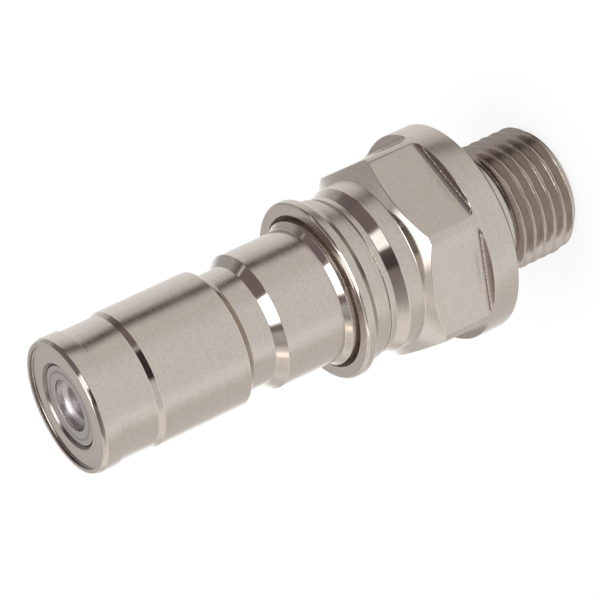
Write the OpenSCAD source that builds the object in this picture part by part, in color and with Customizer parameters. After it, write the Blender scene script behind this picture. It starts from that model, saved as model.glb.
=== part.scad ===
// Plug half of a flat-face quick coupling for a liquid cooling loop.
// It stands on its thread end: +Z runs along the axis towards the nose, and
// the origin is the centre of the thread end. Millimetres.

/* [Thread end] */
// Major diameter of the male pipe thread
thread_d = 9.728; // [9.5:0.001:10]
// Length of the thread, from the end face
thread_len = 5.4; // [4:0.1:7]
// Chamfer at the start of the thread
thread_chamfer = 0.7; // [0.4:0.05:0.9]
// Diameter of the relief groove behind the thread
relief_d = 8.6; // [8.2:0.1:9]
// Width of the relief groove
relief_w = 0.35; // [0.2:0.05:0.8]
// Diameter of the plain land behind the flange
land_d = 9.3; // [9:0.05:9.6]
// Length of the plain land
land_len = 1.8; // [1:0.1:3]
// Diameter of the flow bore through the adapter
flow_bore_d = 5.5; // [4.5:0.1:5.8]

/* [Flange and hex] */
// Diameter of the flange and across the hex's rounded corners
flange_d = 15.8; // [15.2:0.1:16]
// Width of the round flange
flange_w = 2.55; // [2:0.05:4]
// Radial size of the chamfer on the flange's rear edge
flange_chamfer = 0.65; // [0.3:0.05:1]
// Axial size of the chamfer on the flange's rear edge
flange_chamfer_len = 0.45; // [0.3:0.05:1]
// Width across the hex's flats
hex_af = 14; // [13.8:0.1:14.4]
// Length of the hex, from the flange to the shoulder
hex_len = 4.87; // [3.5:0.01:7]
// Axial length of the chamfer at the front of the hex
hex_chamfer_len = 0.78; // [0.4:0.01:1.2]
// Fillet that the cutter leaves where a flat meets the flange
mill_fillet = 0.5; // [0.2:0.05:0.8]

/* [Collar] */
// Diameter of the shoulder in front of the hex
shoulder_d = 12.54; // [12.3:0.01:12.9]
// Length of the shoulder
shoulder_len = 1.28; // [1:0.01:2.5]
// Diameter at the bottom of the V groove behind the collar
vee_d = 11.5; // [11.2:0.05:11.6]
// Width of the flat bottom of the V groove
vee_w = 0.1; // [0.05:0.01:0.4]
// Length of the slope that leads from the shoulder down to it
vee_slope = 0.81; // [0.5:0.01:1]
// Diameter of the collar's tail
tail_land_d = 11.9; // [11.7:0.05:12.1]
// Length of the collar's tail
tail_land_len = 0.46; // [0.3:0.01:0.9]
// Diameter of the narrow groove in the collar
groove_d = 11.6; // [11.4:0.05:11.7]
// Width of the narrow groove in the collar
groove_w = 0.42; // [0.25:0.01:0.6]
// Diameter of the collar's middle step
waist_d = 12.2; // [12:0.05:12.5]
// Length of the collar's middle step
waist_len = 0.84; // [0.5:0.01:1.4]
// Diameter of the collar's rim
rim_d = 13.44; // [13:0.01:13.7]
// Length of the collar's rim
rim_len = 0.7; // [0.5:0.05:1.2]
// Edge break on the collar's rim
rim_break = 0.15; // [0.05:0.01:0.25]
// Radial gap between the shank and the counterbore of the collar it stands in.
mouth_gap = 0.33; // [0.2:0.01:0.45]
// Depth of the counterbore in the collar
mouth_depth = 1.9; // [1.4:0.05:2]

/* [Plug body outside] */
// Diameter of the shank in the collar
shank_d = 10.9; // [10.6:0.05:11.1]
// Length of the shank, from its seat in the adapter
shank_len = 2.28; // [2.1:0.01:4]
// Diameter of the section between shank and neck
section_d = 10.12; // [9.9:0.01:10.4]
// Length of the section between shank and neck
section_len = 4.69; // [3.5:0.01:7]
// Diameter of the ball-lock neck
neck_d = 8.8; // [8.6:0.05:9.2]
// Length of the neck's bottom
neck_len = 1.83; // [1.2:0.01:3]
// Diameter of the barrel in front of the neck
barrel_d = 10.1; // [9.9:0.01:10.3]
// Length of the barrel
barrel_len = 7.05; // [5.5:0.05:10]
// Length of the taper from the barrel to the pilot
taper_len = 0.42; // [0.2:0.01:0.8]
// Diameter of the pilot
pilot_d = 9.74; // [9.6:0.01:9.84]
// Length of the pilot
pilot_len = 2.91; // [2:0.01:4]
// Diameter of the band at the nose
band_d = 10.04; // [9.9:0.01:10.1]
// Length of the band at the nose
band_len = 1.24; // [0.9:0.01:2]
// Chamfer on the nose's outer edge
nose_chamfer = 0.16; // [0.1:0.01:0.25]
// Length of that chamfer along the axis
nose_chamfer_len = 0.3; // [0.15:0.01:0.4]

/* [Plug body inside] */
// Diameter of the recess in the nose
recess_d = 9.1; // [8.9:0.01:9.3]
// Depth of the recess in the nose
recess_depth = 0.22; // [0.1:0.01:0.4]
// Diameter of the bore that the poppet seals in
seal_bore_d = 6.06; // [5.9:0.01:6.2]
// Length of the bore that the poppet seals in
seal_bore_len = 3.1; // [2.9:0.05:3.8]
// Chamfer at the mouth of the seal bore
mouth_chamfer = 0.17; // [0.1:0.01:0.25]
// Diameter of the valve chamber
chamber_d = 7.5; // [7.2:0.05:7.6]
// Length of the valve chamber
chamber_len = 12.8; // [12:0.1:13.5]
// Diameter of the bore behind the valve chamber
rear_bore_d = 7.9; // [7.8:0.05:8]
// Diameter of the screwed tail
tail_d = 9.7; // [9.6:0.02:9.9]
// Length of the screwed tail
tail_len = 6.25; // [5:0.05:7]
// Depth of the relief between tail and shank
tail_relief = 0.3; // [0.1:0.05:0.4]
// Width of the relief between tail and shank
tail_relief_w = 0.6; // [0.3:0.05:1]

/* [Valve] */
// How far the poppet's face lies inside the nose's face
poppet_recess = 0.15; // [0:0.01:0.3]
// Thickness of the poppet's lobed flange
lobe_len = 1.2; // [0.8:0.05:1.6]
// Number of lobes and of windows in the guide
lobes = 3; // [3:1:4]
// Depth of the flats milled between the lobes
lobe_cut = 1.2; // [0.8:0.05:1.25]
// Diameter of the poppet's stem
stem_d = 2.4; // [2:0.05:2.6]
// How far the stem reaches past the guide when shut
stem_end = 0.4; // [0.2:0.05:1]
// Diameter of the pocket's mouth in the poppet's face
pocket_d = 3.84; // [3.4:0.02:4]
// Diameter of the pocket's floor
pocket_floor_d = 2.5; // [1.8:0.02:2.7]
// Depth of the pocket
pocket_depth = 0.75; // [0.4:0.01:1]
// Diameter of the centre mark in the pocket's floor
centre_d = 0.7; // [0.4:0.05:1]
// Diameter of the fine ring cut in the poppet's face
face_ring_d = 5.2; // [4.6:0.05:5.5]
// Width and depth of that ring
face_ring = 0.05; // [0.03:0.01:0.1]
// Radial clearance of the poppet's head in its bore
head_gap = 0.05; // [0.03:0.01:0.09]

/* [Spring and guide] */
// Wire diameter of the spring
wire_d = 0.45; // [0.35:0.01:0.55]
// Coil diameter of the spring, at the middle of the wire
coil_d = 4.2; // [4.1:0.01:4.4]
// Turns of the spring, its closed end turns included
coil_turns = 9; // [7:0.5:11]
// Thickness of the guide
guide_len = 1.6; // [1.2:0.05:2]
// Wall of the guide's rim
guide_rim = 0.75; // [0.5:0.05:0.9]
// Diameter of the guide's hub
hub_d = 3.9; // [3.7:0.05:4.1]
// Width of the guide's arms
arm_w = 1.1; // [0.8:0.05:1.5]
// Length of the pilots inside the spring's ends
pilot_h = 0.6; // [0.4:0.05:1]
// Clearance between a pilot and the spring
pilot_gap = 0.12; // [0.08:0.01:0.2]
// Thickness of the retaining ring
ring_t = 0.5; // [0.4:0.05:0.7]
// Radial width of the retaining ring
ring_w = 0.85; // [0.7:0.05:1]
// Depth of the retaining ring's groove
ring_groove = 0.3; // [0.2:0.05:0.4]
// Angle of the gap in the retaining ring
ring_gap_deg = 56; // [40:1:90]

/* [Seals] */
// Depth of the poppet's seal groove
seal_groove = 0.68; // [0.55:0.01:0.75]
// Width of the poppet's seal groove
seal_groove_w = 0.95; // [0.8:0.01:1.1]
// Distance from the poppet's face to the middle of its seal
seal_setback = 1.35; // [1.1:0.05:1.6]
// Depth of the gland for the body seal
gland_depth = 0.7; // [0.55:0.01:0.9]
// Diameter of the boss inside that gland
gland_boss_d = 7.4; // [7.2:0.05:7.6]

/* [Fits] */
// Radial clearance between moving steel faces
run_gap = 0.05; // [0.03:0.01:0.08]
// Radial clearance between fixed steel faces
slip_gap = 0.03; // [0.01:0.01:0.05]
// Clearance around a rubber ring
rubber_gap = 0.03; // [0.01:0.01:0.05]
// Clearance between faces that rest on each other
face_gap = 0.02; // [0.01:0.01:0.04]
// Gap between the plug body's rear end and the adapter
end_gap = 0.05; // [0.03:0.01:0.1]

/* [Hidden] */
$fn = 96;
// How far a cutter runs past the face that it opens
over = 0.5;

// Heights along the adapter, from the thread end forwards
z_land = thread_len + relief_w;
z_flange = z_land + land_len;
z_hex = z_flange + flange_w;
z_shoulder = z_hex + hex_len;
z_cone = z_shoulder + shoulder_len;
z_vee = z_cone + vee_slope;
z_tail_land = z_vee + vee_w;
z_groove = z_tail_land + tail_land_len;
z_waist = z_groove + groove_w;
z_ramp = z_waist + waist_len;
z_rim = z_ramp + (rim_d - waist_d) / 2;
z_collar = z_rim + rim_len;

// Heights along the plug body, which seats in the collar's counterbore
mouth_d = shank_d + 2 * mouth_gap;
z_seat = z_collar - mouth_depth;
z_rear = z_seat - tail_len;
z_shank = z_seat + shank_len;
z_section = z_shank + (shank_d - section_d) / 2;
z_neck_cone = z_section + section_len;
z_neck = z_neck_cone + (section_d - neck_d) / 2;
z_lock = z_neck + neck_len;
z_barrel = z_lock + (barrel_d - neck_d) / 2;
z_taper = z_barrel + barrel_len;
z_pilot = z_taper + taper_len;
z_band = z_pilot + pilot_len;
z_nose = z_band + band_len + nose_chamfer_len;

// Heights inside the plug body
z_face = z_nose - recess_depth;
z_stop = z_face - seal_bore_len;
z_guide = z_stop - chamber_len;
z_guide_rear = z_guide - guide_len;
z_ring = z_guide_rear - ring_t - 2 * face_gap;
z_ledge = z_rear - end_gap;
z_gland = z_ledge - gland_depth;

// The poppet, shut
head_r = seal_bore_d / 2 - head_gap;
lobe_r = chamber_d / 2 - run_gap;
z_poppet = z_face - poppet_recess;
z_lobe_top = z_stop - face_gap;
z_lobe = z_lobe_top - lobe_len;
z_stem = z_guide_rear - stem_end;
pilot_r = (coil_d - wire_d) / 2 - pilot_gap;
seal_floor_r = head_r - seal_groove;
z_seal = z_poppet - seal_setback;

// The guide
guide_r = rear_bore_d / 2 - slip_gap;
window_r = guide_r - guide_rim;

// A solid turned about the axis from points [radius, height]
module turned(points) {
    rotate_extrude() polygon(points);
}

// A plain bore of radius r from height a up to height b
module bore(r, a, b) {
    translate([0, 0, a]) cylinder(r = r, h = b - a);
}

// A ring of rubber squeezed between two radii and two heights
module seal_ring(r_in, r_out, z_low, z_high) {
    w = r_out - r_in;
    h = z_high - z_low;
    r = min(w, h) / 2;
    rotate_extrude() translate([r_in, z_low]) union() {
        translate([r, r]) circle(r);
        translate([w - r, h - r]) circle(r);
        if (w > h) translate([r, 0]) square([w - h, h]);
        if (h > w) translate([0, r]) square([w, h - w]);
    }
}

// One milled flat: the cutter leaves a fillet against the flange
module flat_cutter() {
    reach = flange_d / 2 - hex_af / 2 + over;
    height = hex_len + over;
    rotate([90, 0, 0])
        linear_extrude(flange_d, center = true)
            translate([hex_af / 2, z_hex]) union() {
                translate([mill_fillet, 0]) square([reach, height]);
                translate([0, mill_fillet]) square([reach, height - mill_fillet]);
                translate([mill_fillet, mill_fillet]) circle(mill_fillet);
            }
}

// The adapter's outside, from the thread end to the collar's front face
module adapter_blank() {
    turned([
        [0, 0],
        [thread_d / 2 - thread_chamfer, 0],
        [thread_d / 2, thread_chamfer],
        [thread_d / 2, thread_len],
        [relief_d / 2, thread_len],
        [relief_d / 2, z_land],
        [land_d / 2, z_land],
        [land_d / 2, z_flange],
        [flange_d / 2 - flange_chamfer, z_flange],
        [flange_d / 2, z_flange + flange_chamfer_len],
        [flange_d / 2, z_shoulder - hex_chamfer_len],
        [shoulder_d / 2, z_shoulder],
        [shoulder_d / 2, z_cone],
        [vee_d / 2, z_vee],
        [vee_d / 2, z_tail_land],
        [tail_land_d / 2, z_tail_land],
        [tail_land_d / 2, z_groove],
        [groove_d / 2, z_groove],
        [groove_d / 2, z_waist],
        [waist_d / 2, z_waist],
        [waist_d / 2, z_ramp],
        [rim_d / 2, z_rim],
        [rim_d / 2, z_collar - rim_break],
        [rim_d / 2 - rim_break, z_collar],
        [0, z_collar]
    ]);
}

// Hex adapter: collar, hex, flange and thread in one piece
module adapter() {
    socket_r = tail_d / 2 + slip_gap;
    color("silver") difference() {
        adapter_blank();
        for (i = [0:5]) rotate(60 * i) flat_cutter();
        bore(flow_bore_d / 2, -over, z_collar);
        bore(socket_r, z_ledge, z_collar);
        bore(mouth_d / 2, z_seat, z_collar + over);
        turned([
            [gland_boss_d / 2, z_gland],
            [socket_r, z_gland],
            [socket_r, z_ledge + over],
            [gland_boss_d / 2, z_ledge + over]
        ]);
    }
}

// Plug body: nose, ball-lock neck, shank and screwed tail
module plug_body() {
    color("gainsboro") difference() {
        turned([
            [0, z_rear],
            [tail_d / 2, z_rear],
            [tail_d / 2, z_seat - tail_relief_w],
            [tail_d / 2 - tail_relief, z_seat - tail_relief_w],
            [tail_d / 2 - tail_relief, z_seat],
            [shank_d / 2, z_seat],
            [shank_d / 2, z_shank],
            [section_d / 2, z_section],
            [section_d / 2, z_neck_cone],
            [neck_d / 2, z_neck],
            [neck_d / 2, z_lock],
            [barrel_d / 2, z_barrel],
            [barrel_d / 2, z_taper],
            [pilot_d / 2, z_pilot],
            [pilot_d / 2, z_band],
            [band_d / 2, z_band],
            [band_d / 2, z_nose - nose_chamfer_len],
            [band_d / 2 - nose_chamfer, z_nose],
            [0, z_nose]
        ]);
        turned([
            [0, z_rear - over],
            [rear_bore_d / 2, z_rear - over],
            [rear_bore_d / 2, z_ring],
            [rear_bore_d / 2 + ring_groove, z_ring],
            [rear_bore_d / 2 + ring_groove, z_guide_rear],
            [rear_bore_d / 2, z_guide_rear],
            [rear_bore_d / 2, z_guide],
            [chamber_d / 2, z_guide],
            [chamber_d / 2, z_stop],
            [seal_bore_d / 2, z_stop],
            [seal_bore_d / 2, z_face - mouth_chamfer],
            [seal_bore_d / 2 + mouth_chamfer, z_face],
            [recess_d / 2, z_face],
            [recess_d / 2, z_nose + over],
            [0, z_nose + over]
        ]);
    }
}

// The poppet's lobed flange: a disc with a flat between each two lobes
module lobed_flange() {
    flat_r = lobe_r - lobe_cut;
    translate([0, 0, z_lobe])
        linear_extrude(lobe_len)
            intersection() {
                circle(lobe_r);
                circle(flat_r / cos(180 / lobes), $fn = lobes);
            }
}

// The bowl-shaped pocket that is cut in the poppet's face
module pocket_cutter() {
    floor_r = pocket_floor_d / 2;
    wall = (pocket_d - pocket_floor_d) / 2;
    z_floor = z_poppet - pocket_depth;
    turned(concat(
        [[0, z_poppet + over], [0, z_floor - centre_d / 4], [centre_d / 2, z_floor]],
        [for (a = [0:10:90])
            [floor_r + wall * sin(a), z_floor + pocket_depth * (1 - cos(a))]],
        [[pocket_d / 2, z_poppet + over]]
    ));
}

// Flat-faced valve: face, seal groove, lobed flange, spring pilot and stem
module poppet() {
    stem_r = stem_d / 2;
    chamfer = stem_r / 5;
    groove_low = z_seal - seal_groove_w / 2;
    groove_high = z_seal + seal_groove_w / 2;
    color("lightgray") difference() {
        union() {
            turned([
                [0, z_stem],
                [stem_r - chamfer, z_stem],
                [stem_r, z_stem + chamfer],
                [stem_r, z_lobe - pilot_h],
                [pilot_r, z_lobe - pilot_h],
                [pilot_r, z_lobe_top],
                [head_r, z_lobe_top],
                [head_r, groove_low],
                [seal_floor_r, groove_low],
                [seal_floor_r, groove_high],
                [head_r, groove_high],
                [head_r, z_poppet],
                [0, z_poppet]
            ]);
            lobed_flange();
        }
        pocket_cutter();
        turned([
            [face_ring_d / 2, z_poppet - face_ring],
            [face_ring_d / 2 + face_ring, z_poppet + over],
            [face_ring_d / 2 - face_ring, z_poppet + over]
        ]);
    }
}

// Rubber ring in the poppet's groove
module poppet_seal() {
    half = seal_groove_w / 2 - rubber_gap;
    color("dimgray")
        seal_ring(seal_floor_r + rubber_gap, seal_bore_d / 2 - rubber_gap,
                  z_seal - half, z_seal + half);
}

// Rubber ring in the gland between adapter and plug body
module body_seal() {
    color("dimgray")
        seal_ring(gland_boss_d / 2 + rubber_gap, tail_d / 2 + slip_gap - rubber_gap,
                  z_gland + face_gap, z_rear - face_gap);
}

// Height of the coil's centre line after t turns: one closed turn at each end
function coil_rise(t, closed, open) =
    closed * min(t, 1)
    + open * max(0, min(t, coil_turns - 1) - 1)
    + closed * max(0, t - (coil_turns - 1));

// Compression spring with closed and ground ends
module valve_spring() {
    low = z_guide + face_gap;
    high = z_lobe - face_gap;
    ground = wire_d / 4;
    closed = wire_d * 1.06;
    open = (high - low - 2 * ground - 2 * closed) / (coil_turns - 2);
    sides = 8;
    steps = 24;
    count = coil_turns * steps;
    points = [
        for (i = [0:count]) let (t = i / steps, a = 360 * t)
            for (j = [0:sides - 1]) let (
                b = 360 * j / sides,
                r = (coil_d + wire_d * cos(b)) / 2,
                z = low + ground + coil_rise(t, closed, open) + wire_d * sin(b) / 2
            ) [r * cos(a), r * sin(a), z]
    ];
    walls = [
        for (i = [0:count - 1]) for (j = [0:sides - 1]) let (
            a = i * sides + j,
            b = i * sides + (j + 1) % sides
        ) each [[a, a + sides, b], [b, a + sides, b + sides]]
    ];
    ends = [
        [for (j = [0:sides - 1]) j],
        [for (j = [sides - 1:-1:0]) count * sides + j]
    ];
    color("darkgray") intersection() {
        polyhedron(points, concat(walls, ends));
        bore(coil_d, low, high);
    }
}

// Guide for the poppet's stem, with windows between its arms
module valve_guide() {
    color("silver") difference() {
        union() {
            translate([0, 0, z_guide_rear])
                linear_extrude(guide_len)
                    difference() {
                        circle(guide_r);
                        difference() {
                            circle(window_r);
                            circle(hub_d / 2);
                            for (i = [0:lobes - 1])
                                rotate(360 / lobes * i)
                                    translate([0, -arm_w / 2])
                                        square([window_r + over, arm_w]);
                        }
                    }
            bore(pilot_r, z_guide, z_guide + pilot_h);
        }
        bore(stem_d / 2 + run_gap, z_guide_rear - over, z_guide + pilot_h + over);
    }
}

// Open snap ring behind the guide
module retaining_ring() {
    r_out = rear_bore_d / 2 + ring_groove - slip_gap;
    r_mid = r_out - ring_w / 2;
    reach = 2 * r_out;
    half = ring_gap_deg / 2;
    color("gray") translate([0, 0, z_ring + face_gap]) linear_extrude(ring_t) union() {
        difference() {
            circle(r_out);
            circle(r_out - ring_w);
            polygon([
                [0, 0],
                [reach * cos(half), -reach * sin(half)],
                [reach * cos(half), reach * sin(half)]
            ]);
        }
        for (side = [-1, 1]) rotate(side * half) translate([r_mid, 0]) circle(ring_w / 2);
    }
}

adapter();
plug_body();
poppet();
poppet_seal();
valve_spring();
valve_guide();
retaining_ring();
body_seal();
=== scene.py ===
"""Looks of the quick coupling plug: turned steel, a real thread and a small photo studio.

Metres throughout; sizes written in millimetres are multiplied by MM. Outlines are read from the
frame's own meshes, so the pieces made here have the size and place of the solids they stand for.
"""
import math
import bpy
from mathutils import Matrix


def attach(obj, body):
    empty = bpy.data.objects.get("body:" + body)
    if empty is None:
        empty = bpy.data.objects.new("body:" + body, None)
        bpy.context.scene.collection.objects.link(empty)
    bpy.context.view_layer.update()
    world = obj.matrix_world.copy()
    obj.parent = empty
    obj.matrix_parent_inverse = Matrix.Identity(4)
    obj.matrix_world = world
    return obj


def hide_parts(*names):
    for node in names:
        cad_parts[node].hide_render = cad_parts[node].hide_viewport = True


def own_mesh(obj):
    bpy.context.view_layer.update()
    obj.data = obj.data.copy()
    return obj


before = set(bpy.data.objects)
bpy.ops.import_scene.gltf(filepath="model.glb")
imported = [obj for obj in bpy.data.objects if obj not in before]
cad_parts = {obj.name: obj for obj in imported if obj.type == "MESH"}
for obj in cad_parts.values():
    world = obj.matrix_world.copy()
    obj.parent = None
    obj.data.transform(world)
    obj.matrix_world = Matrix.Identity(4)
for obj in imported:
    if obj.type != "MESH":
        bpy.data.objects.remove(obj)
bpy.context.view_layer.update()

from types import SimpleNamespace

import bmesh
import bpy
from mathutils import Matrix, Vector

MM = 0.001

# ---------------------------------------------------------------- sizes
SAME = 1e-6                  # sizes closer than this are the same
STRAIGHT = 0.012 * MM        # how far a point may stand off a straight stretch of an outline
RING_REACH = 0.02 * MM       # how far a cut facet lies off the ring that it belongs to
EDGE = 0.05 * MM             # radius that the edges of the adapter are broken to
FINE_EDGE = 0.035 * MM       # the same on the plug body and the poppet
ARC_STEPS = 3                # mesh rows round a broken edge
ROWS_A_CORNER = ARC_STEPS + 1  # its arc and the straight stretch after it
COLUMNS = 240                # columns of a turned piece

THREAD_PITCH = 0.907 * MM    # 28 turns to the inch
THREAD_DEPTH = 0.581 * MM
THREAD_ROWS = 22             # mesh rows in one pitch
THREAD_REACH = 5 * MM        # the thread's diameter is the largest up to this height
ROOT_SHARE = 0.16            # of half a pitch, how much is the flat of the root
FLANK_SHARE = 0.8            # and how much is the flank

MILL_FILLET = 0.5 * MM       # fillet where a flat meets the flange
HEX_FILLET_STEPS = 6
HEX_ROW_STEP = 0.004 * MM    # keeps the fillet's rows apart where the cutter takes nothing off
CORNER_BLEND = 0.06 * MM     # round between a flat and the flange's cylinder
FLAT_COLUMNS = 17            # mesh columns from the middle of a flat to near its side
SIDE_COLUMNS = 8             # fine columns over the side of a flat
SIDE_STEP = 0.2              # degrees between those

POPPET_CUT = math.radians(60.3)  # angle between two of the poppet's lobes
LOBES_LOW = 36 * MM          # the lobes lie above this height
HEAD_LOW = 37 * MM           # and the head above this one
HEAD_R = 2.9 * MM            # radius that only the head and the lobes pass

# ---------------------------------------------------------------- outlines


def section(node, angle):
    """Outline of a CAD node in the half plane at that angle: (radius, height) points in order."""
    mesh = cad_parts[node].data
    out = Vector((math.cos(angle), math.sin(angle), 0))
    across = Vector((-out.y, out.x, 0))
    spots = [tuple(round(c, 8) for c in v.co) for v in mesh.vertices]
    rings = {(math.hypot(p[0], p[1]), p[2]) for p in spots}
    links = {}
    mesh.calc_loop_triangles()
    for tri in mesh.loop_triangles:
        corners = [spots[i] for i in tri.vertices]
        hits = []
        for p, q in zip(corners, corners[1:] + corners[:1]):
            side_p, side_q = Vector(p).dot(across), Vector(q).dot(across)
            if (side_p < 0) != (side_q < 0):
                share = side_p / (side_p - side_q)
                hit = Vector(p).lerp(Vector(q), share)
                hits.append((min(p, q), max(p, q), hit.dot(out), hit.z))
        if len(hits) == 2 and hits[0][2] > 0:
            for one, other in (hits, hits[::-1]):
                links.setdefault(one[:2], {})[other[:2]] = (other[2], other[3])
    ends = [key for key in links if len(links[key]) == 1]
    start = min(ends or links, key=str)
    loop, here, last = [], start, None
    for _ in range(len(links)):
        following = [key for key in links[here] if key != last]
        if not following:
            break
        last, here = here, following[0]
        loop.append(links[last][here])
        if here == start:
            break
    if ends:
        loop = [(0.0, loop[0][1])] + loop[1:-1] + [(0.0, loop[-1][1])]
    return [on_ring(p, rings) if p[0] > 0 else p for p in straightened(loop)]


def on_ring(point, rings):
    """The mesh's own ring next to a point, so that flat facets don't shrink a radius."""
    nearest = min(rings, key=lambda q: math.dist(point, q))
    r, z = nearest if math.dist(point, nearest) < RING_REACH else point
    return round(r, 6), round(z, 6)


def straightened(loop):
    """The outline's corners alone, turning one way round, with the axis on its left."""
    kept = [p for i, p in enumerate(loop) if math.dist(p, loop[i - 1]) > SAME]
    passes = 4
    for _ in range(passes):
        for i in range(len(kept) - 1, -1, -1):
            before, here, after = (Vector(kept[k % len(kept)]) for k in (i - 1, i, i + 1))
            if abs((here - before).cross(after - before)) < STRAIGHT * (after - before).length:
                del kept[i]
    area = sum(kept[i - 1][0] * p[1] - p[0] * kept[i - 1][1] for i, p in enumerate(kept))
    return kept if area > 0 else kept[::-1]


def rounded(corners, radius):
    """The closed outline with an arc of ARC_STEPS rows at each corner, always the same count."""
    points = []
    for i, corner in enumerate(corners):
        corner = Vector(corner)
        before = Vector(corners[i - 1]) - corner
        after = Vector(corners[(i + 1) % len(corners)]) - corner
        reach = min(radius, 0.4 * before.length, 0.4 * after.length)
        if corner.x < SAME:
            reach = 0
        a = corner + before.normalized() * reach
        b = corner + after.normalized() * reach
        for step in range(ARC_STEPS + 1):
            t = step / ARC_STEPS
            points.append(a.lerp(corner, t).lerp(corner.lerp(b, t), t))
    return points


def surface(a, b):
    """Finish of a stretch of outline: a bore, a cylinder (satin), a face or a cone (polished)."""
    if b[1] < a[1] - SAME:
        return "bore"
    if abs(b[0] - a[0]) < SAME:
        return "satin"
    return "faced" if abs(b[1] - a[1]) < SAME else "polished"


def row_finishes(corners):
    """Finish of each mesh row that rounded() makes from these corners."""
    finishes = []
    for i, corner in enumerate(corners):
        after = surface(corner, corners[(i + 1) % len(corners)])
        inside = after == "bore" and surface(corners[i - 1], corner) != "satin"
        finishes += ["bore" if inside else "edge"] * ARC_STEPS + [after]
    return finishes


def skinned(name, angles, columns, finishes, materials):
    """A closed ring-shaped mesh from one outline for each angle, with a material for each row."""
    vertices = [
        (p[0] * math.cos(angle), p[0] * math.sin(angle), p[1])
        for angle, column in zip(angles, columns) for p in column
    ]
    rows, count = len(columns[0]), len(columns)
    faces, slots = [], []
    order = list(materials)
    for c in range(count):
        here, there = c * rows, (c + 1) % count * rows
        for r in range(rows):
            up = (r + 1) % rows
            faces.append((here + r, there + r, there + up, here + up))
            slots.append(order.index(finishes[r]))
    mesh = bpy.data.meshes.new(name)
    mesh.from_pydata(vertices, [], faces)
    mesh.polygons.foreach_set("material_index", slots)
    mesh.polygons.foreach_set("use_smooth", [True] * len(faces))
    for material in materials.values():
        mesh.materials.append(material)
    obj = bpy.data.objects.new(name, mesh)
    bpy.context.scene.collection.objects.link(obj)
    weighted = obj.modifiers.new("flat_faces", "WEIGHTED_NORMAL")
    weighted.weight = 100
    return obj


def turned(name, node, radius, materials, body="body", angle=0.1):
    """A turned piece: the node's outline with broken edges, round the axis."""
    corners = section(node, angle)
    angles = [math.tau * i / COLUMNS for i in range(COLUMNS)]
    columns = [rounded(corners, radius)] * COLUMNS
    obj = skinned(name, angles, columns, row_finishes(corners), materials)
    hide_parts(node)
    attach(obj, body)
    return obj


# ---------------------------------------------------------------- adapter


def thread_radius(angle, z, major):
    """Radius of the thread's surface, rounded at crest and root."""
    turn = z / THREAD_PITCH - angle / math.tau
    rise = abs((turn % 1) - 0.5) * 2
    rise = min(max((rise - ROOT_SHARE) / FLANK_SHARE, 0), 1)
    return major - THREAD_DEPTH * (1 - rise ** 1.2)


def softly_least(a, b, blend):
    """The lesser of two sizes, with a small round where they cross."""
    gap = max(blend - abs(a - b), 0) / blend
    return min(a, b) - gap * gap * blend / 4


def adapter_sizes():
    """Sizes of the adapter, read from its outline at a corner of the hex and on a flat."""
    blank = section("adapter", -math.pi / 2 + 0.01)
    flat = section("adapter", 0.0005)
    major = max(r for r, z in blank if z < THREAD_REACH)
    thread_end = max(z for r, z in blank if abs(r - major) < SAME)
    hex_r = max(r for r, z in blank)
    flange_z = min(z for r, z in blank if r > hex_r - SAME)
    chamfer_z = max(z for r, z in blank if r > hex_r - SAME)
    shoulder = blank[blank.index((hex_r, chamfer_z)) + 1]
    wall_z = max(z for r, z in flat if r > hex_r - SAME)
    on_flat = [r for r, z in flat if wall_z < z < shoulder[1] and r > shoulder[0] + 10 * SAME]
    foot = min(blank, key=lambda p: (p[1], -p[0]))
    first = blank.index(foot)
    ring = blank[first:] + blank[:first]
    thread_top = next(
        i for i, p in enumerate(ring) if abs(p[0] - major) < SAME and abs(p[1] - thread_end) < SAME
    )
    return SimpleNamespace(
        major=major,
        thread_end=thread_end,
        start_r=foot[0],
        hex_r=hex_r,
        flat_r=min(on_flat),
        wall_z=wall_z,
        chamfer_z=chamfer_z,
        slope=(shoulder[1] - chamfer_z) / (hex_r - shoulder[0]),
        rear=ring[thread_top + 1:ring.index((hex_r, flange_z)) + 1],
        front=ring[ring.index((hex_r, chamfer_z)) + 1:],
    )


def hex_corners(sizes, offset):
    """Outline of the hex from the flange's front edge to the end chamfer, at an angle off a flat."""
    across = math.cos(offset)
    corners = [(sizes.hex_r, sizes.wall_z)]
    for step in range(HEX_FILLET_STEPS + 1):
        turn = math.pi / 2 * step / HEX_FILLET_STEPS
        x = sizes.flat_r + MILL_FILLET * (1 - math.sin(turn))
        z = sizes.wall_z + MILL_FILLET * (1 - math.cos(turn)) + HEX_ROW_STEP * (step + 1)
        corners.append((softly_least(sizes.hex_r, x / across, CORNER_BLEND), z))
    edge = softly_least(sizes.hex_r, sizes.flat_r / across, CORNER_BLEND)
    corners.append((edge, sizes.chamfer_z + (sizes.hex_r - edge) * sizes.slope))
    return corners


def adapter_corners(sizes, offset):
    """Outline of the adapter past its thread, at an angle off the middle of the nearest flat."""
    return sizes.rear + hex_corners(sizes, offset) + sizes.front


def thread_heights(sizes):
    """Heights of the thread's mesh rows."""
    rows = round(sizes.thread_end / THREAD_PITCH * THREAD_ROWS)
    return [sizes.thread_end * i / rows for i in range(rows + 1)]


def adapter_column(sizes, angle, offset):
    """Outline points of the adapter at one angle, which is offset off the nearest flat."""
    threaded = [
        Vector((min(thread_radius(angle, z, sizes.major), sizes.start_r + z), z))
        for z in thread_heights(sizes)
    ]
    return threaded + rounded(adapter_corners(sizes, offset), EDGE)


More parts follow.
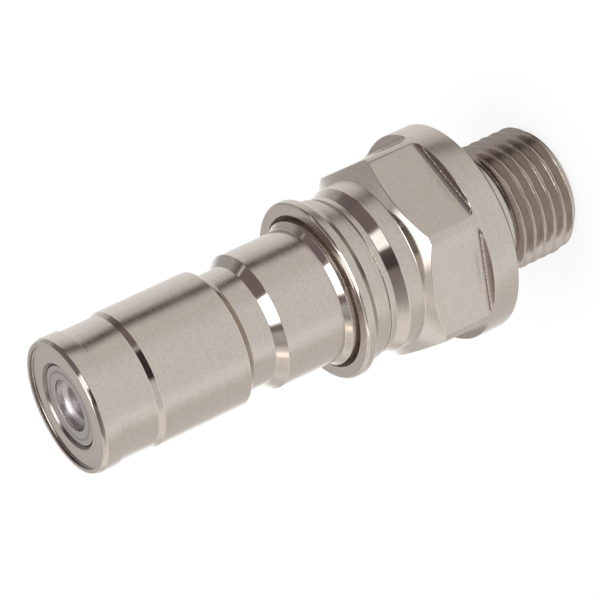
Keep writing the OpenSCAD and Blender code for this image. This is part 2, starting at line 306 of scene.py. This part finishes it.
def adapter_finishes(sizes):
    """Finish of each mesh row: thread, turned steel, the cutter's fillet and the flat."""
    finishes = row_finishes(adapter_corners(sizes, 0))
    wall = len(sizes.rear)
    fillet = wall * ROWS_A_CORNER + ARC_STEPS
    half_way = (wall + HEX_FILLET_STEPS // 2 + 2) * ROWS_A_CORNER
    chamfer = (wall + HEX_FILLET_STEPS + 2) * ROWS_A_CORNER
    finishes[fillet:half_way] = ["milled"] * (half_way - fillet)
    finishes[half_way:chamfer] = ["flat"] * (chamfer - half_way)
    return ["thread"] * len(thread_heights(sizes)) + finishes


def flat_offsets(sizes):
    """Degrees off the middle of a flat where the mesh has its columns, up to the next flat's."""
    side = math.degrees(math.acos(sizes.flat_r / sizes.hex_r))
    inner = side - (SIDE_COLUMNS // 2) * SIDE_STEP
    outer = side + (SIDE_COLUMNS // 2) * SIDE_STEP
    half = [inner * i / FLAT_COLUMNS for i in range(FLAT_COLUMNS + 1)]
    half += [inner + SIDE_STEP * (i + 1) for i in range(SIDE_COLUMNS)]
    half.append((outer + 30) / 2)
    return sorted([-offset for offset in half if offset > 0] + half + [30])


def adapter_piece(materials):
    """The adapter: a turned blank with a thread on one end and six milled flats."""
    sizes = adapter_sizes()
    angles, columns = [], []
    for k in range(6):
        for offset in flat_offsets(sizes):
            angles.append(math.radians(60 * k + offset))
            columns.append(adapter_column(sizes, angles[-1], math.radians(offset)))
    obj = skinned("adapter_threaded", angles, columns, adapter_finishes(sizes), materials)
    rim = sizes.hex_r - CORNER_BLEND / 2
    top = sizes.chamfer_z + 0.01 * MM
    for face in obj.data.polygons:
        spots = [obj.data.vertices[i].co for i in face.vertices]
        if all(v.xy.length > rim and v.z < top for v in spots):
            face.material_index = list(materials).index("satin")
    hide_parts("adapter")
    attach(obj, "body")
    return obj


# ---------------------------------------------------------------- valve


def solid_piece(name, mesh, material):
    """A mesh as an object of the scene, in one finish."""
    mesh.name = name
    mesh.materials.clear()
    mesh.materials.append(material)
    obj = bpy.data.objects.new(name, mesh)
    bpy.context.scene.collection.objects.link(obj)
    return obj


def spring_piece(material):
    """The coil spring, as the solid has it, fixed to the body."""
    obj = solid_piece("valve_spring_wire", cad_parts["valve_spring"].data.copy(), material)
    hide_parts("valve_spring")
    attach(obj, "body")
    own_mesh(obj)


def poppet_lobes(material):
    """The guide lobes behind the poppet's head, as the solid has them."""
    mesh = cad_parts["poppet"].data.copy()
    wide = [v.co for v in mesh.vertices if v.co.xy.length > HEAD_R]
    head = min(spot.z for spot in wide if spot.z > HEAD_LOW) + 0.01 * MM
    shape = bmesh.new()
    shape.from_mesh(mesh)
    away = [f for f in shape.faces if not all(LOBES_LOW < v.co.z < head for v in f.verts)]
    bmesh.ops.delete(shape, geom=away, context="FACES")
    shape.to_mesh(mesh)
    shape.free()
    obj = solid_piece("poppet_lobes", mesh, material)
    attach(obj, "valve")


# ---------------------------------------------------------------- finishes


class Tree:
    """Short names for building a node tree."""

    def __init__(self, tree):
        self.tree = tree

    def add(self, kind, inputs=(), out=0, **settings):
        """Adds a node, sets or links its inputs (name or number: value or socket), gives an output."""
        node = self.tree.nodes.new(kind)
        for key, value in settings.items():
            setattr(node, key, value)
        for key, value in dict(inputs).items():
            if isinstance(value, bpy.types.NodeSocket):
                self.tree.links.new(value, node.inputs[key])
            else:
                node.inputs[key].default_value = value
        return node.outputs[out]

    def math(self, operation, *values):
        """One Math node on numbers or sockets."""
        return self.add("ShaderNodeMath", dict(enumerate(values)), operation=operation)

    def ramp(self, value, low, high, start=0.0, end=1.0):
        """Smooth step of value from low to high, giving start to end."""
        return self.add(
            "ShaderNodeMapRange", {0: value, 1: low, 2: high, 3: start, 4: end},
            interpolation_type="SMOOTHSTEP",
        )

    def noise(self, vector, detail, scale=1.0, **more):
        """Value of a noise that runs along vector."""
        inputs = {"Vector": vector, "Scale": scale, "Detail": detail, **more}
        return self.add("ShaderNodeTexNoise", inputs)

    def feed(self, node, name, value):
        """Links a value to an input of a node."""
        self.tree.links.new(value, node.inputs[name])

    def mix(self, factor, a, b):
        """Colour a, or b where factor is 1."""
        return self.add("ShaderNodeMix", {0: factor, 6: a, 7: b}, out=2, data_type="RGBA")

    def polar(self, scale_r=1.0, scale_z=1.0, scale_turn=1.0):
        """Object coordinates as (radius, height, angle), scaled, in millimetres and turns."""
        spot = self.add("ShaderNodeTexCoord", out=3)
        x, y, z = (self.add("ShaderNodeSeparateXYZ", {0: spot}, out=i) for i in range(3))
        squares = self.math("ADD", self.math("MULTIPLY", x, x), self.math("MULTIPLY", y, y))
        radius = self.math("MULTIPLY", self.math("SQRT", squares), scale_r / MM)
        height = self.math("MULTIPLY", z, scale_z / MM)
        turn = self.math("MULTIPLY", self.math("ARCTAN2", y, x), scale_turn / math.tau)
        return self.add("ShaderNodeCombineXYZ", {0: radius, 1: height, 2: turn})


def finish(name):
    """A new material: its tree helper and its principled shader."""
    material = bpy.data.materials.new(name)
    material.use_nodes = True
    return material, Tree(material.node_tree), material.node_tree.nodes["Principled BSDF"]


def metal(name, colour, roughness, lines=0.0, spread=0.04, around=2.0, pitch=14.0, depth=0.003):
    """Bare steel, a little mottled, with the fine lines that turning leaves round the axis.

    lines and depth (in millimetres) give the lines' strength, pitch how many there are to the
    millimetre, and around into how many lengths a turn is broken.
    """
    material, tree, shader = finish(name)
    shader.inputs["Metallic"].default_value = 1.0
    grain = tree.noise(tree.polar(pitch, pitch, around), 3.0, Roughness=0.6)
    cloud = tree.noise(tree.polar(0.5, 0.5, 3.0), 2.0)
    mottle = tree.noise(tree.add("ShaderNodeTexCoord", out=3), 2.0, scale=5 / MM)
    light = tuple(min(c * 1.05, 1) for c in colour) + (1,)
    dark = tuple(c * 0.95 for c in colour) + (1,)
    tone = tree.math("ADD", tree.math("MULTIPLY", grain, 0.4), tree.math("MULTIPLY", mottle, 0.6))
    tree.feed(shader, "Base Color", tree.mix(tree.ramp(tone, 0.38, 0.62), dark, light))
    fine = tree.ramp(grain, 0.3, 0.7, -spread, spread)
    broad = tree.ramp(cloud, 0.3, 0.7, roughness - spread / 2, roughness + spread / 2)
    tree.feed(shader, "Roughness", tree.math("ADD", fine, broad))
    if lines:
        relief = {"Height": grain, "Strength": lines, "Distance": depth * MM}
        tree.feed(shader, "Normal", tree.add("ShaderNodeBump", relief))
    return material


def rubber(name):
    """Black seal rubber, dull."""
    material, tree, shader = finish(name)
    speck = tree.noise(tree.polar(3, 3, 8), 3.0)
    tone = tree.mix(speck, (0.012, 0.012, 0.013, 1), (0.03, 0.03, 0.031, 1))
    tree.feed(shader, "Base Color", tone)
    shader.inputs["Roughness"].default_value = 0.55
    return material


def poppet_steel_painted_shade():
    """Cooler steel, faced with fine rings, with painted shade that makes it darker down in the pocket
    and in the ring cut round it.
    """
    material, tree, shader = finish("poppet_steel_painted_shade")
    shader.inputs["Metallic"].default_value = 1.0
    spot = tree.polar()
    radius, height = (tree.add("ShaderNodeSeparateXYZ", {0: spot}, out=i) for i in (0, 1))
    grain = tree.noise(tree.polar(11, 11, 0.3), 3.0)
    face = tree.ramp(radius, 1.2, 1.5)
    ring = tree.math("MULTIPLY", tree.ramp(radius, 2.38, 2.46), tree.ramp(radius, 2.62, 2.54))
    # painted shade: the base colour is darker down in the pocket, inside this radius
    tone = tree.mix(face, (0.26, 0.235, 0.24, 1), (0.54, 0.505, 0.50, 1))
    # painted shade: the ring cut round the face is darkened
    tone = tree.mix(tree.math("MULTIPLY", ring, 0.55), tone, (0.16, 0.145, 0.145, 1))
    tone = tree.mix(tree.ramp(grain, 0.35, 0.65, 0.0, 0.35), tone, (0.38, 0.35, 0.35, 1))
    tree.feed(shader, "Base Color", tone)
    tree.feed(shader, "Roughness", tree.ramp(radius, 1.7, 1.95, 0.4, 0.26))
    along = tree.math("ADD", radius, tree.math("MULTIPLY", height, 0.6))
    rings = tree.math("SINE", tree.math("MULTIPLY", along, 34.0))
    relief = tree.math("ADD", tree.math("MULTIPLY", rings, 0.5), grain)
    bump = tree.add("ShaderNodeBump", {"Height": relief, "Strength": 0.45, "Distance": 0.008 * MM})
    tree.feed(shader, "Normal", bump)
    return material


STEEL = (0.60, 0.54, 0.485)


def steel_set(satin, bore):
    """Finishes of a turned piece, by surface()'s names. satin is a roughness, bore a material."""
    return {
        "satin": metal("satin_steel", STEEL, satin, lines=0.04),
        "polished": metal("polished_steel", STEEL, 0.07, lines=0.04, spread=0.015),
        # painted highlight: the broken edges are a little lighter than the steel, besides being
        # polished
        "edge": metal("edge_steel_painted_highlight", (0.66, 0.60, 0.54), 0.12),
        "faced": metal("faced_steel", (0.63, 0.565, 0.535), 0.2, lines=0.15, pitch=9.0),
        "bore": bore,
        # painted shade: the thread is darker than the turned steel, for the shade down in its grooves
        "thread": metal("thread_steel_painted_shade", (0.50, 0.44, 0.395), 0.18, lines=0.1),
        # painted shade: the cutter's fillet is a darker, plum steel, standing in for the dark
        # reflection where a flat meets the flange
        "milled": metal(
            "milled_steel_painted_shade", (0.46, 0.40, 0.38), 0.1, lines=1.0, around=260.0, pitch=0.6, depth=0.02,
        ),
        "flat": metal("flat_steel", STEEL, 0.3, spread=0.004),
    }


# ---------------------------------------------------------------- studio


def panel(tree, colour, azimuth, elevation, centre, size, soft, shade):
    """Lays a soft-edged panel of that shade over colour, at a direction and size in degrees."""
    off = tree.math("WRAP", tree.math("SUBTRACT", azimuth, centre[0]), 180.0, -180.0)
    off = tree.math("ABSOLUTE", off)
    rise = tree.math("ABSOLUTE", tree.math("SUBTRACT", elevation, centre[1]))
    across = tree.ramp(off, size[0] + soft, size[0] - soft)
    along = tree.ramp(rise, size[1] + soft, size[1] - soft)
    return tree.mix(tree.math("MULTIPLY", across, along), colour, shade + (1,))


def grey(level, warmth=0.0):
    """A near neutral shade, warmer as warmth grows."""
    return (level * (1 + warmth), level, level * (1 - warmth))


def plum(level):
    """A dark shade with a little purple, as the shadows of the studio have."""
    return (level * 1.12, level * 0.93, level * 0.98)


WHITE = (1, 1, 1, 1)
FLOOR = 2.0                      # metres from the middle of the floor to its edge
PANELS = (
    # each: azimuth from the front towards +X and elevation, half size, softness (degrees), shade
    ((180, -50), (26, 45), 14, grey(1.15)),          # bright table behind
    ((-10, -40), (42, 60), 18, grey(0.86)),          # table in front
    ((-62, -38), (14, 36), 12, grey(0.98)),          # lit corner of the table
    ((135, 26), (30, 32), 12, grey(0.5)),            # wall behind, on the shaded side
    ((76, 40), (38, 42), 8, plum(0.2)),              # shaded side of the room
    ((87, -45), (9, 60), 10, plum(0.1)),             # dark flag beside the table
    ((142, -50), (26, 45), 10, grey(0.95)),          # table behind the flag
    ((180, 25), (20, 22), 10, grey(0.6, 0.04)),      # far wall
    ((-145, 36), (14, 14), 6, grey(1.05)),           # window on the far left
    ((-100, 8), (34, 14), 10, grey(1.0, 0.03)),      # lit edge of the side wall
    ((-40, 55), (45, 30), 10, plum(0.22)),           # gap in the ceiling
    ((-67, 58), (20, 12), 5, grey(0.55)),            # beam across that gap
    ((8, 20), (26, 16), 5, plum(0.05)),              # camera and its stand
    ((101, 40), (3, 6), 2, grey(1.0)),               # narrow window
    ((25, 34), (13, 8), 4, grey(1.7)),               # lamp beside the camera
    ((-100, 44), (24, 16), 6, grey(0.9, 0.04)),      # warm side wall
    ((-91, 45), (5, 8), 3, grey(1.7, 0.08)),         # lamp beside the table
)
SOFT_BOX_CENTRE = (0.05, -0.36)  # sideways and forward over the height above the part
SOFT_BOX_SIZE = (0.36, 0.78)


def soft_box(tree, colour, x, y, z):
    """Lays the big oval lamp overhead over colour, for the direction x, y, z."""
    height = tree.math("MAXIMUM", z, 0.01)
    parts = []
    for value, centre, size in zip((x, y), SOFT_BOX_CENTRE, SOFT_BOX_SIZE):
        aside = tree.math("SUBTRACT", tree.math("DIVIDE", value, height), centre)
        parts.append(tree.math("POWER", tree.math("DIVIDE", tree.math("ABSOLUTE", aside), size), 2.0))
    inside = tree.ramp(tree.math("ADD", *parts), 1.5, 0.6)
    return tree.mix(inside, colour, grey(2.3) + (1,))


def ray_kinds(tree):
    """Three values, each 1 for its own kind of ray: camera, glossy and transmission."""
    names = ("Is Camera Ray", "Is Glossy Ray", "Is Transmission Ray")
    return [tree.add("ShaderNodeLightPath", out=name) for name in names]


def studio():
    """World light: plain for the surfaces, white behind the object, panels for what steel mirrors."""
    world = bpy.data.worlds.new("studio")
    bpy.context.scene.world = world
    world.use_nodes = True
    tree = Tree(world.node_tree)
    background = world.node_tree.nodes["Background"]
    toward = tree.add("ShaderNodeTexCoord", out=0)
    x, y, z = (tree.add("ShaderNodeSeparateXYZ", {0: toward}, out=i) for i in range(3))
    azimuth = tree.math("DEGREES", tree.math("ARCTAN2", x, tree.math("MULTIPLY", y, -1.0)))
    azimuth = tree.math("SUBTRACT", azimuth, math.degrees(CAMERA_TURN))
    elevation = tree.math("DEGREES", tree.math("ARCSINE", z))
    colour = tree.add("ShaderNodeRGB")
    colour.default_value = grey(0.74, 0.02) + (1,)
    for centre, size, soft, shade in PANELS:
        colour = panel(tree, colour, azimuth, elevation, centre, size, soft, shade)
    colour = soft_box(tree, colour, x, y, z)
    camera_ray, glossy_ray, transmission_ray = ray_kinds(tree)
    plain = tree.mix(glossy_ray, grey(0.78) + (1,), colour)
    seen = tree.mix(tree.math("MAXIMUM", camera_ray, transmission_ray), plain, WHITE)
    tree.feed(background, "Color", seen)


def key_light():
    """A big soft lamp high in front, which gives the table its faint shadow."""
    sun = bpy.data.lights.new("soft_key", "SUN")
    sun.energy = 0.8
    sun.angle = math.radians(35)
    lamp = bpy.data.objects.new("soft_key", sun)
    lamp.rotation_euler = (math.radians(27), 0, math.radians(8))
    bpy.context.scene.collection.objects.link(lamp)


def table_top():
    """Plain white floor that keeps a faint shadow."""
    mesh = bpy.data.meshes.new("floor")
    corners = [(-FLOOR, -FLOOR, 0), (FLOOR, -FLOOR, 0), (FLOOR, FLOOR, 0), (-FLOOR, FLOOR, 0)]
    mesh.from_pydata(corners, [], [(0, 1, 2, 3)])
    floor = bpy.data.objects.new("floor", mesh)
    bpy.context.scene.collection.objects.link(floor)
    material, tree, shader = finish("floor_white")
    shader.inputs["Base Color"].default_value = (0.9, 0.9, 0.9, 1)
    shader.inputs["Roughness"].default_value = 1.0
    shader.inputs["Specular IOR Level"].default_value = 0.0
    camera_ray, glossy_ray, transmission_ray = ray_kinds(tree)
    seen = tree.math("MAXIMUM", tree.math("MAXIMUM", camera_ray, glossy_ray), transmission_ray)
    share = tree.math("MULTIPLY", seen, 0.8)
    white = tree.add("ShaderNodeEmission", {"Color": WHITE, "Strength": 1.05})
    blend = tree.add("ShaderNodeMixShader", {0: share, 1: shader.outputs[0], 2: white})
    tree.feed(material.node_tree.nodes["Material Output"], "Surface", blend)
    mesh.materials.append(material)
    floor.visible_glossy = False


CAMERA_LENS = 206.4
CAMERA_DISTANCE = 241.4 * MM
CAMERA_FROM_AXIS = math.radians(64.95)   # angle between the view and the plug's axis
CAMERA_ROLL = math.radians(25.15)
CAMERA_TURN = math.radians(2.4)          # towards +X from the hex corner
CAMERA_AIM = (-0.15 * MM, 0, 21.35 * MM)


def camera():
    """Long-lens camera looking down on the nose, rolled so that the plug lies across the frame."""
    away, drop = math.sin(CAMERA_FROM_AXIS), -math.cos(CAMERA_FROM_AXIS)
    forward = Vector((0, away, drop))
    level, tip = Vector((1, 0, 0)), Vector((0, drop, -away))
    cos, sin = math.cos(CAMERA_ROLL), math.sin(CAMERA_ROLL)
    up = level * cos + tip * sin
    right = forward.cross(up)
    place = Matrix((right, up, -forward)).transposed().to_4x4()
    place.translation = Vector(CAMERA_AIM) - forward * CAMERA_DISTANCE
    data = bpy.data.cameras.new("camera")
    data.lens = CAMERA_LENS
    data.sensor_width = 36
    data.clip_start = 0.01
    obj = bpy.data.objects.new("camera", data)
    obj.matrix_world = Matrix.Rotation(CAMERA_TURN, 4, "Z") @ place
    bpy.context.scene.collection.objects.link(obj)
    bpy.context.scene.camera = obj


# ---------------------------------------------------------------- scene


def dress(node, material):
    """Gives a CAD node one finish."""
    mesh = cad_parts[node].data
    mesh.materials.clear()
    mesh.materials.append(material)


# painted light: the adapter's bore is paler than the steel, so the gap round the shank in its mouth
# reads lighter
adapter_piece(steel_set(0.3, metal("mouth_steel_painted_light", (0.85, 0.77, 0.69), 0.55)))
# painted shade: the plug body's bore gets a much darker steel colour than the outside
steel = steel_set(0.18, metal("bore_steel_painted_shade", (0.24, 0.21, 0.20), 0.22, lines=0.1))
turned("plug_body_turned", "plug_body", FINE_EDGE, steel)
cool = poppet_steel_painted_shade()
valve = dict.fromkeys(("satin", "polished", "edge", "faced", "bore"), cool)
turned("poppet_turned", "poppet", FINE_EDGE, valve, "valve", POPPET_CUT)
poppet_lobes(cool)
# the guide inside takes the same painted shade as the bore
dress("valve_guide", steel["bore"])
dress("retaining_ring", metal("ring_steel", (0.5, 0.48, 0.46), 0.25))
spring_piece(metal("spring_steel", (0.55, 0.53, 0.50), 0.2))
black = rubber("seal_rubber")
dress("poppet_seal", black)
dress("body_seal", black)

studio()
key_light()
table_top()
camera()
bpy.context.scene.view_settings.view_transform = "Standard"
